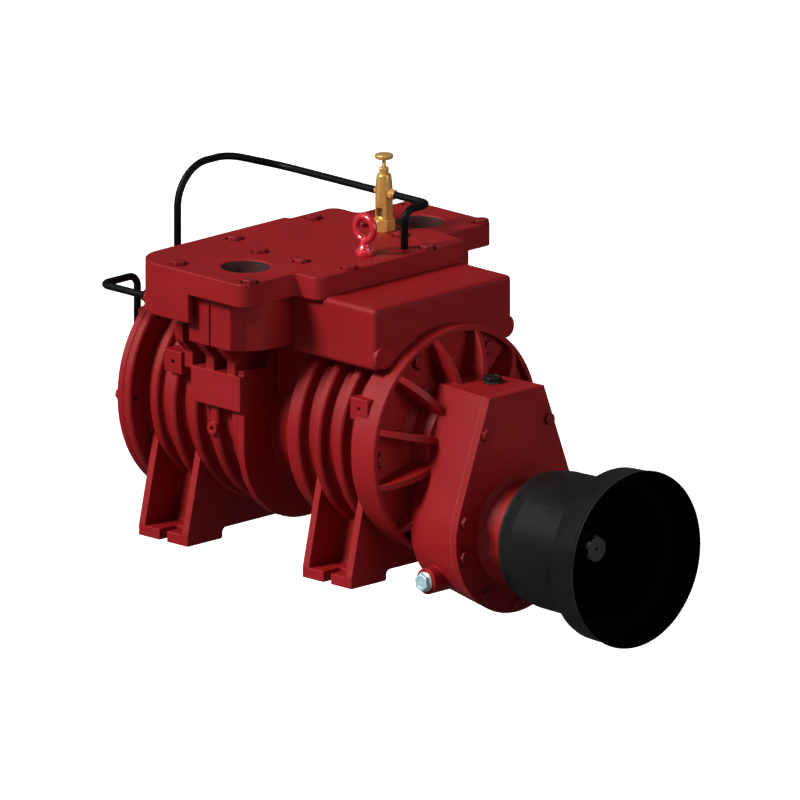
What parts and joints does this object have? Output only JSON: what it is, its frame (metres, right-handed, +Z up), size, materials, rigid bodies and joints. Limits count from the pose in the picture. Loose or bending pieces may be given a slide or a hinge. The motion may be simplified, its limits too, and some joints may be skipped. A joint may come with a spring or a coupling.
{
  "type": "rotary vane vacuum pump",
  "caption": "Ribbed rotary vane vacuum pump on feet, with ported top plate, drip lubricator, oil pipes, gear case and guarded tractor shaft.",
  "frame": {"origin": "on the plane the feet stand on, midway between front and rear feet and straight below the rotor axis", "axes": "+X along the shafts towards the tractor shaft's end, +Y towards the far flank, +Z up"},
  "size_m": [0.786, 0.426, 0.4949],
  "materials": {
    "painted_iron": "satin red paint",
    "painted_bolts": "satin red paint",
    "bright_red": "gloss red paint",
    "brass": "turned brass",
    "black_pipe": "black plastic-coated tube",
    "black_plastic": "moulded black plastic",
    "zinc_steel": "bright zinc",
    "copper": "dull copper",
    "gasket": "grey-green gasket paper",
    "seal_rubber": "oil-wet black rubber",
    "bare_iron": "ground cast iron",
    "vane_fibre": "brown fibre laminate",
    "ground_steel": "ground steel",
    "cage_brass": "pressed brass"
  },
  "bodies": {
    "casing": {"drain_plug": "zinc_steel", "drain_washer": "copper", "eye_bolt": "bright_red", "filler_plug": "black_plastic", "front_bearing_outer": "ground_steel", "front_feet": "painted_iron", "front_flange_bolts": "painted_bolts", "front_gasket": "gasket", "front_housing": "painted_iron", "front_rotor_seal": "seal_rubber", "gearbox_cover": "painted_iron", "gearbox_cover_bolts": "painted_bolts", "gearbox_gasket": "gasket", "guard_screws": "zinc_steel", "lubricator_base": "brass", "lubricator_body": "brass", "lubricator_nipples": "brass", "manifold_bolts": "painted_bolts", "manifold_cover": "painted_iron", "manifold_gasket": "gasket", "oil_pipe_front": "black_pipe", "oil_pipe_long": "black_pipe", "oil_pipe_side": "black_pipe", "pipe_fittings": "black_pipe", "pto_front_bearing_outer": "ground_steel", "pto_guard": "black_plastic", "pto_rear_bearing_outer": "ground_steel", "pto_seal": "seal_rubber", "pump_body": "painted_iron", "rear_bearing_cap": "painted_iron", "rear_bearing_outer": "ground_steel", "rear_cap_screws": "painted_bolts", "rear_cover": "painted_iron", "rear_cover_bolts": "painted_bolts", "rear_feet": "painted_iron", "rear_gasket": "gasket", "rear_rotor_seal": "seal_rubber"},
    "rotor_set": {"rotor": "bare_iron", "rotor_vanes": "vane_fibre", "rotor_shaft": "ground_steel", "pinion_gear": "ground_steel", "pinion_key": "ground_steel", "pinion_circlip": "ground_steel", "rear_bearing_inner": "ground_steel", "front_bearing_inner": "ground_steel"},
    "pto_set": {"pto_shaft": "ground_steel", "drive_gear": "ground_steel", "drive_gear_key": "ground_steel", "drive_gear_circlip": "ground_steel", "pto_rear_bearing_inner": "ground_steel", "pto_front_bearing_inner": "ground_steel"},
    "rear_rollers": {"rear_bearing_rollers": "ground_steel"},
    "front_rollers": {"front_bearing_rollers": "ground_steel"},
    "pto_rear_balls": {"pto_rear_bearing_balls": "ground_steel", "pto_rear_bearing_cage": "cage_brass"},
    "pto_front_balls": {"pto_front_bearing_balls": "ground_steel", "pto_front_bearing_cage": "cage_brass"},
    "knob": {"lubricator_knob": "brass"}
  },
  "joints": [
    {"name": "rotor_spin", "type": "hinge", "parent": "casing", "child": "rotor_set", "pos_m": [0, 0, 0.168], "axis": [1, 0, 0], "continuous": true},
    {"name": "pto_spin", "type": "hinge", "parent": "casing", "child": "pto_set", "pos_m": [0, 0, 0.077], "axis": [1, 0, 0], "continuous": true},
    {"name": "rear_rollers_spin", "type": "hinge", "parent": "casing", "child": "rear_rollers", "pos_m": [0, 0, 0.168], "axis": [1, 0, 0], "continuous": true},
    {"name": "front_rollers_spin", "type": "hinge", "parent": "casing", "child": "front_rollers", "pos_m": [0, 0, 0.168], "axis": [1, 0, 0], "continuous": true},
    {"name": "pto_rear_balls_spin", "type": "hinge", "parent": "casing", "child": "pto_rear_balls", "pos_m": [0, 0, 0.077], "axis": [1, 0, 0], "continuous": true},
    {"name": "pto_front_balls_spin", "type": "hinge", "parent": "casing", "child": "pto_front_balls", "pos_m": [0, 0, 0.077], "axis": [1, 0, 0], "continuous": true},
    {"name": "lubricator_knob_turn", "type": "hinge", "parent": "casing", "child": "knob", "pos_m": [0.0108, 0.0888, 0.44], "axis": [0, 0, 1], "range_deg": [-90, 270]}
  ],
  "couplings": [
    {"joint": "pto_spin", "follows": "rotor_spin", "ratio": -0.44444},
    {"joint": "rear_rollers_spin", "follows": "rotor_spin", "ratio": 0.38244},
    {"joint": "front_rollers_spin", "follows": "rotor_spin", "ratio": 0.38244},
    {"joint": "pto_rear_balls_spin", "follows": "rotor_spin", "ratio": -0.17653},
    {"joint": "pto_front_balls_spin", "follows": "rotor_spin", "ratio": -0.17778}
  ]
}
